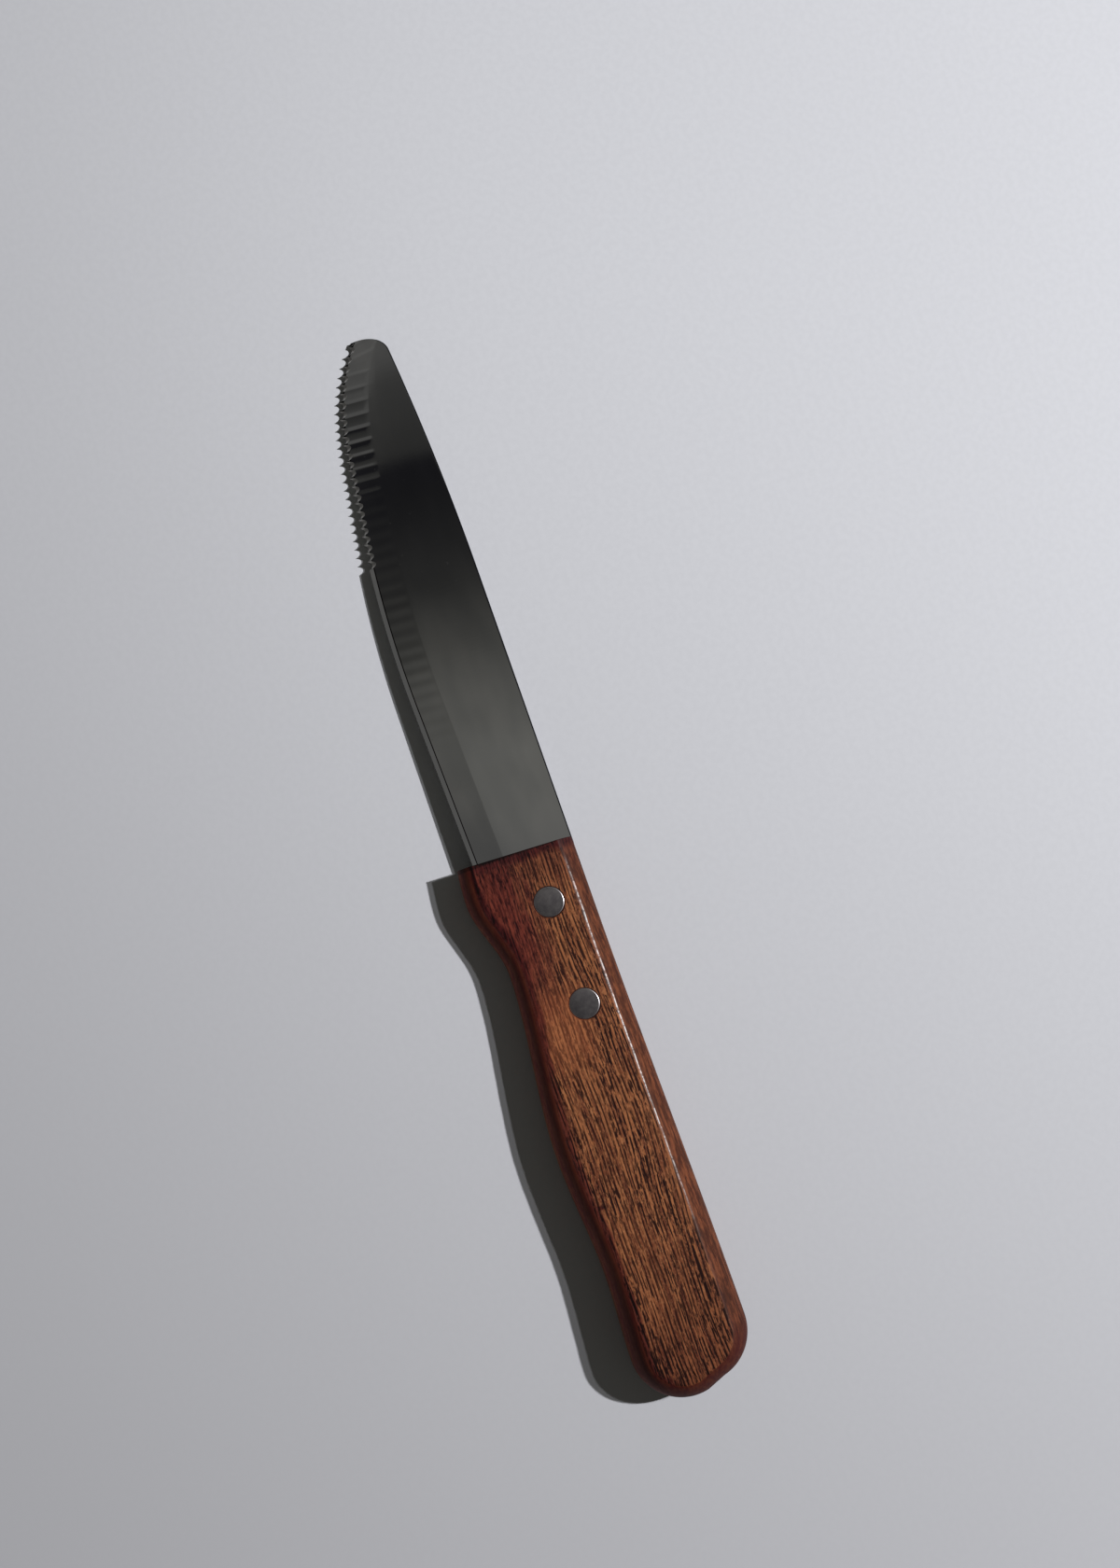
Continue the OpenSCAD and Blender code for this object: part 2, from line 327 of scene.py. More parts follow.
# %% [markdown]
# ## The blade's grinds
# Across the blade the steel is flat from the spine to a shoulder, thins down the main bevel, and
# thins again at the honed edge. The upper bevel also carries shallow flutes, one for each pass
# of a round wheel. Near the nose each is a hollow with a steep far side, and towards the handle
# only a faint wave is left. A bump map could fake them, but polished steel shows every small
# change of slope, so they are in the mesh.

# %% Thickness and flutes
bevel_w = 7.2
bevel_th = 0.5
hone_w = 1.1
edge_th = 0.1
flute_pitch = 3.15
flute_first = 122.6
flute_depth = 0.03
flute_end = 22.0
flute_strong = 90.0
flute_full = 106.0
flute_faint = 0.16
flute_run_out = 0.7
flute_rings = 14
flute_return = 3 / flute_rings


def half_steel(rise):
    """Half the thickness of the steel at a height above the edge."""
    if rise < hone_w:
        return blended(edge_th, bevel_th, clamped(rise / hone_w)) / 2
    return blended(bevel_th, blade_th, clamped((rise - hone_w) / (bevel_w - hone_w))) / 2


def flute(s, rise):
    """How deep the wheel has cut the upper bevel at a ring that starts at s on the edge."""
    phase = round((flute_first - s) / flute_pitch * flute_rings) / flute_rings % 1
    if phase < 1 - flute_return:
        hollow = 1 - (1 - phase / (1 - flute_return)) ** 2
    else:
        hollow = (1 - phase) / flute_return
    wave = (1 - math.cos(phase * math.tau)) / 2
    faint = eased((s - flute_end) / flute_end) * flute_faint
    strong = eased((s - flute_strong) / (flute_full - flute_strong))
    across = eased((bevel_w - rise) / flute_run_out) * eased(rise / hone_w)
    return flute_depth * blended(wave * faint, hollow, strong) * across


print("flutes: %.2f mm apart and %.2f mm deep" % (flute_pitch, flute_depth))

# %% [markdown]
# ## Rows across the blade
# A ring of the blade runs from the edge over the upper face to the spine, and back below. Its
# points stand close together where the slope changes: at the honed edge, at the shoulder and
# round the spine's corner. Near the nose the blade is narrow, so each of these zones is held to
# a share of its width.

# %% Rows and one ring
spine_round = 0.3
shoulder_soft = 0.12
hone_soft = 0.34
bevel_rows = 8
flat_rows = 4
round_rows = 4
least_width = 0.01
hone_most = 0.4
shoulder_most = 0.88
soft_most = 0.02
run_out_most = 0.08
round_most = 0.8
corner_least = 0.93
last_flat_row = 0.95


def row_shares(length):
    """Places across the blade from the edge, as shares, each with how far it is rounded."""
    hone = min(hone_w / length, hone_most)
    shoulder = min(bevel_w / length, shoulder_most)
    soft = min(shoulder_soft / length, soft_most)
    run_out = min(flute_run_out / length, run_out_most)
    corner = max(1 - spine_round / length, corner_least)
    blend = min(hone_soft / length, hone / 2)
    shares = [0.0, hone / 2, hone - blend / 2, hone, hone + blend / 2]
    shares += [blended(hone, shoulder - run_out, k / bevel_rows) for k in range(1, bevel_rows)]
    shares += [max(shares[-1], shoulder - run_out), shoulder - soft, shoulder + soft]
    shares += [blended(shoulder, corner, k / flat_rows) for k in range(1, flat_rows)]
    shares.append(blended(shares[-1], corner, last_flat_row))
    rows = [(share, 0.0) for share in shares]
    for k in range(round_rows + 1):
        turn = math.pi / 2 * k / round_rows
        rows.append((blended(corner, 1, math.sin(turn)), 1 - math.cos(turn)))
    return rows


def blade_ring(top, low, steady=False):
    """One ring round the blade between a point on the spine and one on the edge.

    A steady ring keeps the full thickness, as the tang does."""
    length = max(edge_rise(*top), least_width)
    upper, lower = [], []
    for share, roundness in row_shares(length):
        x, y = blended(low[0], top[0], share), blended(low[1], top[1], share)
        rise = length * share if steady else edge_rise(x, y)
        half = blade_th / 2 if steady else half_steel(rise)
        half -= min(spine_round, half * round_most) * roundness
        groove = 0.0 if steady else flute(-low[0], rise)
        upper.append((x, y, half - groove))
        lower.append((x, y, -half))
    return upper + lower[::-1]


print("rows in a ring:", len(row_shares(heel_depth)) * 2)

# %% [markdown]
# ## Rings along the blade
# The tang is flat, so a few rings are enough for it. From the heel to the nose there are
# fourteen rings to a flute. They lean as the flutes do, because the wheel was held at a slant,
# and so no facet crosses a flute. The last rings fan round the oval of the nose.

# %% Outline of the tang and end of the nose
heel_seat = 2.0
tang_len = 56.0
tang_depth = 18.8
tang_top = 0.9
tang_corner = 4.0
rivet_at = 13.0
rivet_pitch = 24.0
flute_lean = 0.09
nose_rings = 26
halvings = 30


def tang_low(x):
    """Lower edge of the tang at a distance behind the front face."""
    rear = tang_corner - (tang_len - x)
    front = (heel_seat + tang_corner - x) / tang_corner
    return -tang_depth + max(0.0, rear) - (edge_depth(0) - tang_depth) * max(0.0, front)


def nose_end_angle():
    """Where the nose's outline comes down to the honed edge, found by halving."""
    low, high = math.pi, math.pi * 1.5
    for _ in range(halvings):
        half = (low + high) / 2
        if edge_rise(*nose_point(half)) > hone_w:
            low = half
        else:
            high = half
    return low


# %% Rings of the tang and of the blade
def tang_rings():
    """The rings of the tang, from its end to the heel."""
    front = heel_seat + tang_corner
    rear = tang_len - tang_corner
    stations = (tang_len, rear + tang_corner / 2, rear, rivet_at + rivet_pitch, rivet_at,
                front, heel_seat + tang_corner / 2, heel_seat)
    return [blade_ring((x, -tang_top), (x, tang_low(x)), steady=True) for x in stations]


def blade_rings():
    """The rings of the blade, from the heel to the nose."""
    rings = []
    gap = flute_pitch / flute_rings
    first = -math.floor((flute_first + heel_seat) / gap)
    last = math.floor((nose_at - flute_first) / gap)
    for s in [-heel_seat] + [flute_first + i * gap for i in range(first + 1, last + 1)]:
        top = s - flute_lean * edge_rise(-s, -spine_drop(s)) * eased(s / flute_end)
        rings.append(blade_ring((-top, -spine_drop(top)), (-s, -edge_depth(s))))
    start = math.pi / 2 + math.atan(nose_slope * nose_half_len / nose_half_depth)
    end = nose_end_angle()
    for i in range(1, nose_rings + 1):
        share = i / nose_rings
        s = blended(flute_first + last * gap, -nose_point(end)[0], share)
        rings.append(blade_ring(nose_point(blended(start, end, share)), (-s, -edge_depth(s))))
    return rings


# %% Roll the blade
rings = tang_rings() + blade_rings()
blade = rolled_sheet("ground_blade", len(rings), len(rings[0]), lambda i, j: rings[i][j])
print("blade blank:", len(rings), "rings,", len(blade.data.polygons), "faces")

# %% [markdown]
# ## Teeth and rivet holes
# Each gullet was cut by the rim of a small wheel that leant over, so it bites deeper into the
# upper face than into the lower one and leaves a leaning scoop. The same is done here: a leant
# rod for each gullet is taken out of the blank. Neighbours overlap a little, so every second
# gullet is cut first and the rest after them. The tang gets its two clearance holes. The faces
# that the wheel left are marked, so that the finish can make them rougher.

# %% Cut the gullets and the tang's holes
plain_len = 73.6
tooth_pitch = 2.02
gullet_r = 1.05
gullet_depth = 0.85
gullet_lean = math.radians(60)
gullet_cut = bevel_w * 1.4
gullet_sides = 40
tooth_reach = 2.4
scoop_turn = 0.975
rivet_drop = 9.8
shank_d = 4.8
shank_gap = 0.1
hole_cut = 4.0
blade_crease = math.radians(24)

gullet_half = gullet_r / math.cos(gullet_lean)
tooth_count = int((-nose_point(nose_end_angle())[0] - plain_len) / tooth_pitch)
gullets = []
for i in range(tooth_count):
    s = plain_len + (i + 0.5) * tooth_pitch
    centre = (-s, gullet_depth - gullet_half - edge_depth(s), -bevel_th / 2)
    gullets.append(
        rod("gullet_%d" % i, centre, gullet_r, gullet_cut, -gullet_lean, gullet_sides))
rivet_places = [(rivet_at, -rivet_drop, 0), (rivet_at + rivet_pitch, -rivet_drop, 0)]
holes = [rod("hole", place, shank_d / 2 + shank_gap * 2, hole_cut) for place in rivet_places]
cut(blade, [joined(gullets[::2]), joined(gullets[1::2]), joined(holes)])
ground = blade.data.attributes.new("ground", "FLOAT", "FACE")
for polygon in blade.data.polygons:
    x, y, _ = polygon.center
    toothed = plain_len < -x < blade_len and edge_rise(x, y) < tooth_reach
    ground.data[polygon.index].value = float(toothed and abs(polygon.normal.z) < scoop_turn)
settle(blade, on_blade)
only(blade)
bpy.ops.object.shade_smooth_by_angle(angle=blade_crease)
print("blade:", tooth_count, "gullets,", len(blade.data.polygons), "faces")

# %% [markdown]
# ## The handle's outline
# Seen from above the handle has a guard swell behind the blade, a finger groove, a palm swell
# and a waist, and two round corners at the butt. The spine side is nearly straight. The belly
# is drawn through stations at which it is level, which is how a spindle template is drawn.

# %% Stations of the belly and the back
front_slant = 1.0
nose_depth = 26.9
guard_at = 7.6
groove_depth = 23.8
groove_at = 25.6
swell_depth = 27.2
swell_at = 67.6
waist_depth = 25.5
waist_at = 95.6
butt_flare = 0.65
belly_corner_r = 11.6
spine_corner_r = 11.3
butt_slant = 1.4
back_start_share = 0.16
belly_points = 130
corner_points = 26
back_points = 130
front_points = 6
front_clear = 6.0

belly_corner_at = handle_len - belly_corner_r
spine_corner_at = belly_corner_at - butt_slant
belly_line = [
    (-guard_at, -nose_depth), (guard_at, -guard_depth), (groove_at, -groove_depth),
    (swell_at, -swell_depth), (waist_at, -waist_depth),
    (belly_corner_at, -waist_depth - butt_flare)]
back_line = [(handle_len * back_start_share, 0.0), (spine_corner_at, butt_rise)]
print("stations of the belly:", belly_line)


# %% The outline, point by point
def smooth_line(stations, x):
    """Height at x of a line that is level at each of its stations."""
    i = 0
    while i < len(stations) - 2 and x > stations[i + 1][0]:
        i += 1
    (x0, y0), (x1, y1) = stations[i], stations[i + 1]
    return blended(y0, y1, eased((x - x0) / (x1 - x0)))


def handle_plan():
    """The outline from the belly side of the front face round the butt to the spine side."""
    belly_hub = Vector((belly_corner_at, belly_corner_r - waist_depth - butt_flare))
    spine_hub = Vector((spine_corner_at, butt_rise - spine_corner_r))
    gap = belly_hub - spine_hub
    lean = math.atan(gap.x / -gap.y) - math.asin((belly_corner_r - spine_corner_r) / gap.length)
    plan = []
    for i in range(belly_points):
        x = blended(-front_slant / 2, belly_corner_at, i / belly_points)
        plan.append(Vector((x, smooth_line(belly_line, x))))
    for hub, r, start, end in ((belly_hub, belly_corner_r, -math.pi / 2, lean),
                               (spine_hub, spine_corner_r, lean, math.pi / 2)):
        for i in range(corner_points + 1):
            a = blended(start, end, i / corner_points)
            plan.append(hub + Vector((math.cos(a), math.sin(a))) * r)
    for i in range(back_points - 1, -1, -1):
        x = blended(front_slant / 2, spine_corner_at, i / back_points)
        plan.append(Vector((x, smooth_line(back_line, x))))
    for i in range(front_points):
        y = -blended(front_clear, nose_depth - front_clear, i / (front_points - 1))
        plan.append(Vector((front_slant / 2 + y * front_slant / nose_depth, y)))
    return plan


plan = handle_plan()
print("handle outline:", len(plan), "points")

# %% [markdown]
# ## The handle's rounded band
# A cutter ran round the handle and left a band on each side: upright at the middle, turning in
# until it meets the flat face in an edge that sanding has only just broken. The front face was
# sawn off, so it is upright, with broken edges too. A section is drawn for every point of the
# outline, because the handle is a wedge and the band widens towards the butt.

# %% Thickness of the wood and the way outwards
front_band = 3.2
butt_band = 3.7
broken_edge = 0.5
level_count = 12
break_count = 4
front_seat = len(plan) - front_points


def half_wood(x):
    """Half the handle's thickness."""
    return blended(front_th, butt_th, x / handle_len) / 2


def outward(i):
    """Outward direction of the plan, along the front face at that face's two ends."""
    if i == 0:
        return Vector((-front_slant / nose_depth, -1))
    if i == front_seat - 1:
        return Vector((front_slant / nose_depth, 1))
    if i >= front_seat:
        return Vector((-1, front_slant / nose_depth))
    along = (plan[i + 1] - plan[i - 1]).normalized()
    return Vector((along.y, -along.x))


# %% Sections of the band and of the front face
def band_profile(width, height):
    """The band's section: how far in and how high, from the middle to the flat face."""
    sweep = math.atan(width / height) * 2
    r = height / math.sin(sweep)
    turn = sweep - broken_edge / r
    points = []
    for k in range(level_count + 1):
        a = turn * k / level_count
        points.append((r * (1 - math.cos(a)), r * math.sin(a)))
    start, corner, end = points[-1], (width, height), (width + broken_edge, height)
    for k in range(1, break_count + 1):
        t = k / break_count
        points.append(tuple(
            (1 - t) ** 2 * start[n] + 2 * t * (1 - t) * corner[n] + t * t * end[n]
            for n in (0, 1)))
    return points


def front_profile(height):
    """The front face's section: upright, with the edge only broken."""
    points = [(0, (height - broken_edge) * k / level_count) for k in range(level_count + 1)]
    for k in range(1, break_count + 1):
        a = math.pi / 2 * k / break_count
        points.append((broken_edge * (1 - math.cos(a)), height - broken_edge * (1 - math.sin(a))))
    return points


print("points in half a section:", len(band_profile(front_band, front_th / 2)))

# %% [markdown]
# ## Rolling the handle
# The grid is rolled round the outline this time, one ring for each level of the band, and both
# flat faces are the filled ends of the tube. The band's width wavers by some hundredths, as it
# does when a piece is held to the cutter by hand. The innermost ring lies a little way in on
# the flat face. Its points are marked 0 and all others 1, which tells the finish how near the
# edge is, where the stain crept in.

# %% Roll the handle
rim_waver = 0.07
waver_steps = (0.83, 0.31)
stain_reach = 2.2
stain_least = 0.1
stain_from = 1.0
stain_run_in = 8.0
level_from = 0.8
top_level = level_count + break_count + 1


def handle_point(level, i):
    """A point of the handle's skin at a level, which is 0 at the middle."""
    normal, p = outward(i), plan[i]
    width = blended(front_band, butt_band, clamped(p.x / handle_len))
    width += rim_waver * (math.sin(i * waver_steps[0]) + math.sin(i * waver_steps[1] + 1)) / 2
    height = half_wood(p.x - normal.x * width)
    profile = front_profile(height) if i >= front_seat else band_profile(width, height)
    soak = stain_reach * clamped((p.x - stain_from) / stain_run_in) + stain_least
    profile.append((profile[-1][0] + soak, height))
    inset, rise = profile[abs(level)]
    flat = rise * half_wood(p.x - normal.x * inset) / height
    rise = blended(rise, flat, clamped((inset - width * level_from) / width))
    if abs(level) >= top_level - 1:
        rise = half_wood(p.x - normal.x * inset)
    return (p.x - normal.x * inset, p.y - normal.y * inset, math.copysign(rise, level))


def rounded(point):
    """A place to the nearest hundredth, by which the same point is found again."""
    return tuple(round(c, 2) for c in point)


handle = rolled_sheet(
    "wooden_handle", top_level * 2 + 1, len(plan),
    lambda ring, seat: handle_point(ring - top_level, seat))
inner = {rounded(handle_point(level, i))
         for level in (-top_level, top_level) for i in range(len(plan))}
near_edge = handle.data.attributes.new("near_edge", "FLOAT", "POINT")
for vertex in handle.data.vertices:
    near_edge.data[vertex.index].value = float(rounded(vertex.co) not in inner)
print("handle blank:", len(handle.data.polygons), "faces")

# %% [markdown]
# ## Slot, bores and counterbores
# The slot is sawn from the front and from the spine side, and the tang drops into it. Each
# rivet has a bore right through and a counterbore for its head. The counterbore's rim is
# crushed a little outwards where the head was pressed in, which shows as a thin dark ring.

# %% The slot's cutter
slot_gap = 0.05
head_d = 7.0
head_th = 1.2
head_recess = 0.1
head_gap = 0.05
rim_crush = 0.12
overrun = 1.0
seat_sides = 96
handle_crease = math.radians(26)

slot_half = blade_th / 2 + slot_gap
slot_outline = [
    (-overrun * 2, butt_rise + overrun),
    (-overrun * 2, -edge_depth(0) - slot_gap),
    (heel_seat + slot_gap, -edge_depth(0) - slot_gap),
    (heel_seat + slot_gap + tang_corner, -tang_depth - slot_gap),
    (tang_len + slot_gap - tang_corner, -tang_depth - slot_gap),
    (tang_len + slot_gap, -tang_depth - slot_gap + tang_corner),
    (tang_len + slot_gap, butt_rise + overrun)]
slot = plate("slot", slot_outline, -slot_half, slot_half)
slot.data.transform(on_handle.inverted() @ on_blade)
print("slot: %.2f mm wide" % (slot_half * 2))


# %% The seats' cutters
def seat_height(x):
    """Height of the underside of a rivet head above the handle's middle."""
    return half_wood(x) - head_recess - head_th


def counterbore(x, side):
    """A cutter for a head's seat, with a flared mouth for the crushed rim."""
    tool = rod("counterbore", (0, 0, 0), head_d / 2 + head_gap, 1, sides=seat_sides)
    edit(tool)
    bpy.ops.mesh.select_all(action="SELECT")
    bpy.ops.mesh.bisect(plane_co=(0, 0, 0), plane_no=(0, 0, 1))
    done()
    wide = 1 + (rim_crush + overrun) / head_d * 2
    levels = {-1: (1.0, seat_height(x)), 0: (1.0, half_wood(x) - rim_crush),
              1: (wide, half_wood(x) + overrun)}
    for vertex in tool.data.vertices:
        flare, height = levels[round(vertex.co.z * 2)]
        vertex.co = (
            x + vertex.co.x * flare, vertex.co.y * flare - rivet_drop, height * side)
    edit(tool)
    face_outwards()
    done()
    return tool


# %% Cut slot, bores and seats
bores = [rod("bore", place, shank_d / 2 + shank_gap, butt_th + overrun) for place in rivet_places]
seats = [counterbore(x, side) for x, _, _ in rivet_places for side in (1, -1)]
cut(handle, [slot, joined(bores), joined(seats)])
settle(handle, on_handle)
only(handle)
bpy.ops.object.shade_smooth_by_angle(angle=handle_crease)
print("handle:", len(handle.data.polygons), "faces")

# %% [markdown]
# ## Rivets
# Each rivet is a pair: a male half with a pin that is pressed into the bored shank of the female
# half. A half starts as a disc. Its inner face is inset and extruded for the pin or the shank,
# and the shank's end is inset again and pushed in for the bore. The outer rim is rolled over by
# a bevel, which is what catches the light as a thin bright crescent.

# %% Pick a round face and step in
pin_d = 3.2
pin_gap = 0.02
end_gap = 0.6
rim_roll = 0.28
roll_steps = 6
rivet_sides = 96
height_slack = 0.01
rivet_crease = math.radians(35)


def pick_face(piece, low, high, reach_out):
    """Selects the flat round faces between two heights that are within a reach."""
    for polygon in piece.data.polygons:
        level = all(low <= piece.data.vertices[v].co.z <= high for v in polygon.vertices)
        near = all(piece.data.vertices[v].co.xy.length <= reach_out for v in polygon.vertices)
        polygon.select = level and near


def step_in(piece, height, reach_out, inset, move):
    """Insets the round face at a height and extrudes what is left of it."""
    edit(piece)
    done()
    pick_face(piece, height - height_slack, height + height_slack, reach_out)
    bpy.ops.object.mode_set(mode="EDIT")
    bpy.ops.mesh.inset(thickness=inset)
    bpy.ops.mesh.extrude_region_move(TRANSFORM_OT_translate={"value": (0, 0, move)})
    done()


# %% One half of a rivet
def rivet_half(name, node, x, side):
    """One half of a rivet; side is 1 for the male half on top and -1 for the female half."""
    length = seat_height(x) * 2 - end_gap
    bpy.ops.object.select_all(action="DESELECT")
    bpy.ops.mesh.primitive_cylinder_add(
        vertices=rivet_sides, radius=head_d / 2, depth=head_th, location=(0, 0, head_th / 2))
    half = bpy.context.active_object
    half.name = name
    bpy.ops.object.transform_apply(location=True, rotation=True, scale=True)
    edit(half)
    bpy.ops.mesh.select_mode(type="EDGE")
    done()
    for rim in half.data.edges:
        rim.select = all(half.data.vertices[v].co.z > head_th / 2 for v in rim.vertices)
    bpy.ops.object.mode_set(mode="EDIT")
    bpy.ops.mesh.bevel(offset=rim_roll, segments=roll_steps, profile=0.5)
    bpy.ops.mesh.select_mode(type="FACE")
    done()
    inner = pin_d / 2 if side > 0 else shank_d / 2
    step_in(half, 0, head_d, head_d / 2 - inner, -length)
    if side < 0:
        step_in(half, -length, head_d, inner - pin_d / 2 - pin_gap, length)
    turn = Matrix.Identity(4) if side > 0 else Matrix.Rotation(math.pi, 4, "X")
    half.data.transform(
        Matrix.Translation((x, -rivet_drop, seat_height(x) * side)) @ turn)
    settle(half, on_handle)
    edit(half)
    face_outwards()
    done()
    bpy.ops.object.shade_smooth_by_angle(angle=rivet_crease)
    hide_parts(node)
    return half


# %% Two rivets, four halves
rivets = []
for place, (x, _, _) in zip(("front", "rear"), rivet_places):
    for kind, side in (("male", 1), ("female", -1)):
        node = "%s_rivet_%s" % (place, kind)
        rivets.append(rivet_half(node + "_turned", node, x, side))
print("rivet halves:", [rivet.name for rivet in rivets])

# %% [markdown]
# ## Writing finishes
# A finish is a network of shader nodes. Its arithmetic is easier to read as an expression, so a
# wire between nodes is wrapped in a small class: adding, taking away or multiplying two wires
# makes the Math node for it. Every other node comes from one method of the finish, and so do
# the mixes of colours, because a Math node would turn a colour grey.

# %% A wire that Python can reckon with
class Wire:
    """An output of a node, with which Python can reckon."""

    def __init__(self, finish, node, socket):
        self.finish, self.node, self.socket = finish, node, socket

    def other(self, name):
        """Another output of the same node."""
        return Wire(self.finish, self.node, self.node.outputs[name])

    def reckon(self, operation, *values):
        """A Math node with these values in its sockets."""
        return self.finish.node("Math", {"operation": operation}, dict(enumerate(values)))

    def size(self):
        """The value without its sign."""
        return self.reckon("ABSOLUTE", self)

    def wave(self):
        """The sine of the value."""
        return self.reckon("SINE", self)

    def most(self, value):
        """The larger of this and another value."""
        return self.reckon("MAXIMUM", self, value)

    def __add__(self, value):
        return self.reckon("ADD", self, value)

    def __sub__(self, value):
        return self.reckon("SUBTRACT", self, value)

    def __rsub__(self, value):
        return self.reckon("SUBTRACT", value, self)

    def __mul__(self, value):
        return self.reckon("MULTIPLY", self, value)

    def __truediv__(self, value):
        return self.reckon("DIVIDE", self, value)

    __radd__, __rmul__ = __add__, __mul__

    def step(self, low, high):
        """0 below low, 1 above high, and an eased way between; high may be the lower one."""
        return self.finish.node("MapRange", {"interpolation_type": "SMOOTHSTEP"},
                                {"Value": self, "From Min": low, "From Max": high})


# %% A finish and its nodes
class Finish:
    """A material, or the world, and the nodes that make it."""

    def __init__(self, name, owner=None):
        self.owner = owner or bpy.data.materials.new(name)
        self.owner.use_nodes = True
        self.tree = self.owner.node_tree
        self.tree.nodes.clear()

    def node(self, kind, settings=None, sockets=None, output=0):
        """Adds a node, sets it, joins or fills its sockets, and gives one of its outputs."""
        made = self.tree.nodes.new("ShaderNode" + kind)
        for name, value in (settings or {}).items():
            if name == "stops":
                self.set_stops(made.color_ramp, value)
            else:
                setattr(made, name, value)
        for name, value in (sockets or {}).items():
            if isinstance(value, Wire):
                self.tree.links.new(value.socket, made.inputs[name])
            else:
                made.inputs[name].default_value = value
        return Wire(self, made, made.outputs[output]) if len(made.outputs) else made

    def set_stops(self, ramp, stops):
        """Gives a colour ramp its stops, each a place and a colour."""
        while len(ramp.elements) < len(stops):
            ramp.elements.new(0.5)
        for element, (position, colour) in zip(ramp.elements, stops):
            element.position = position
            element.color = colour

    def mixed(self, share, a, b):
        """Colour a, turning into colour b as the share goes to 1."""
        return self.node("Mix", {"data_type": "RGBA"}, {0: share, 6: a, 7: b}, 2)

    def dyed(self, share, wire, dye):
        """A colour through which a dye lets only a part of each light."""
        return self.node("Mix", {"data_type": "RGBA", "blend_type": "MULTIPLY"},
                         {0: share, 6: wire, 7: dye}, 2)

    def millimetres(self):
        """The place on the piece, in millimetres, as three wires."""
        spot = self.node("TexCoord", output="Object")
        scaled = self.node("VectorMath", {"operation": "SCALE"}, {0: spot, "Scale": 1 / MM})
        parts = self.node("SeparateXYZ", None, {0: scaled})
        return parts, parts.other("Y"), parts.other("Z")

    def facing(self):
        """How far the surface faces the spine's side, and how far it faces up or down."""
        normal = self.node("SeparateXYZ", None, {0: self.node("TexCoord", output="Normal")})
        return normal.other("Y"), normal.other("Z").size()

    def vector(self, x, y, z):
        """Three wires as one vector."""
        return self.node("CombineXYZ", None, {0: x, 1: y, 2: z})

    def noise(self, vector, detail=2.0, roughness=0.5):
        """Cloudy values round a half, with blots about 1 wide in the vector's measure."""
        return self.node("TexNoise", None, {
            "Vector": vector, "Scale": 1.0, "Detail": detail, "Roughness": roughness})

    def bump(self, height, strength, distance):
        """The relief of a surface, for its Normal socket."""
        return self.node("Bump", None, {
            "Strength": strength, "Distance": distance, "Height": height})

    def surface(self, sockets):
        """A surface with these sockets filled, joined to the output."""
        return self.close(self.node("BsdfPrincipled", None, sockets))

    def close(self, shader):
        """Joins the last shader to the output of the material or the world."""
        kind = "OutputWorld" if isinstance(self.owner, bpy.types.World) else "OutputMaterial"
        output = self.tree.nodes.new("ShaderNode" + kind)
        self.tree.links.new(shader.socket, output.inputs["Surface"])
        return self.owner


# %% Colours and wearing a finish
def paint(red, green, blue):
    """A colour given as a screen shows it, 0 to 255, as the light that it sends back."""
    return tuple(((c / 255 + 0.055) / 1.055) ** 2.4 for c in (red, green, blue)) + (1.0,)


def wear(pieces, material):
    """Gives pieces a material."""
    for piece in pieces:
        piece.data.materials.clear()
        piece.data.materials.append(material)


# %% [markdown]
# ## Polished steel
# The blade is polished almost to a mirror, so most of what shows on it is its surroundings. Its
# own marks are faint: polishing lines that run from spine to edge, a slight haze that comes and
# goes along the blade, and a few pinpricks. The gullets are left as the wheel cut them, so they
# are rougher, and the mesh says which faces they are. The rim of the spine is dull, and its colour
# is a painted dark reflection: it is painted near black for the thin dark line along the spine.
# It is told by its slope towards the spine's side.

# %% Blade finish
spine_face = (0.04, 0.09)
spine_lean = (0.996, 0.989)
spine_dull = (0.989, 0.965)


def blade_finish():
    """Polished on the flats, ground in the gullets, dull with a painted dark reflection on the
    spine's rim.
    """
    steel = Finish("polished_steel")
    x, y, z = steel.millimetres()
    to_spine, up = steel.facing()
    ground = steel.node("Attribute", {"attribute_name": "ground"}, None, "Fac")
    # Painted dark reflection: the dull rim that faces the spine's side is painted dark.
    dull_painted_dark_rim = up.step(*spine_lean) * (1 - ground) * to_spine.step(*spine_face)
    lines = steel.noise(steel.vector(x * 3.2, y * 0.05, z * 0.05), 3.0)
    scratches = steel.noise(steel.vector(x * 14, y * 0.35, z * 3), 3.0, 0.6)
    haze = steel.noise(steel.vector(x * 0.05, y * 0.12, z * 0.1))
    specks = steel.noise(steel.vector(x * 1.6, y * 1.6, z), 0.0).step(0.84, 0.87)
    grind = steel.noise(steel.vector(x * 2.5, y * 9, z * 9))
    tone = steel.mixed(haze.step(0.35, 0.7), paint(190, 190, 188), paint(204, 203, 200))
    scoop = steel.mixed(grind, paint(120, 118, 114), paint(186, 184, 180))
    tone = steel.mixed(ground, tone, scoop)
    # The spine's rim is painted near black, as a painted dark reflection.
    tone = steel.mixed(dull_painted_dark_rim, tone, paint(30, 30, 34))
    rough = 0.02 + haze * 0.02 + lines * 0.01 + specks * 0.1 + ground * 0.3
    rough = rough + up.step(*spine_dull) * dull_painted_dark_rim * 0.8
    relief = steel.bump(lines * 0.2 + scratches * (0.1 + ground * 2), 0.22, 0.00001)
    return steel.surface({
        "Base Color": tone, "Metallic": 1.0, "Roughness": rough, "Normal": relief})


blade_steel = blade_finish()
wear([blade], blade_steel)
print("blade finish:", len(blade_steel.node_tree.nodes), "nodes")

# %% [markdown]
# ## Rivet steel
# The heads were pressed flat and dulled by handling, so they are mottled and softer than the
# blade, with fine scratches along the knife. The rolled rim is the dullest part.

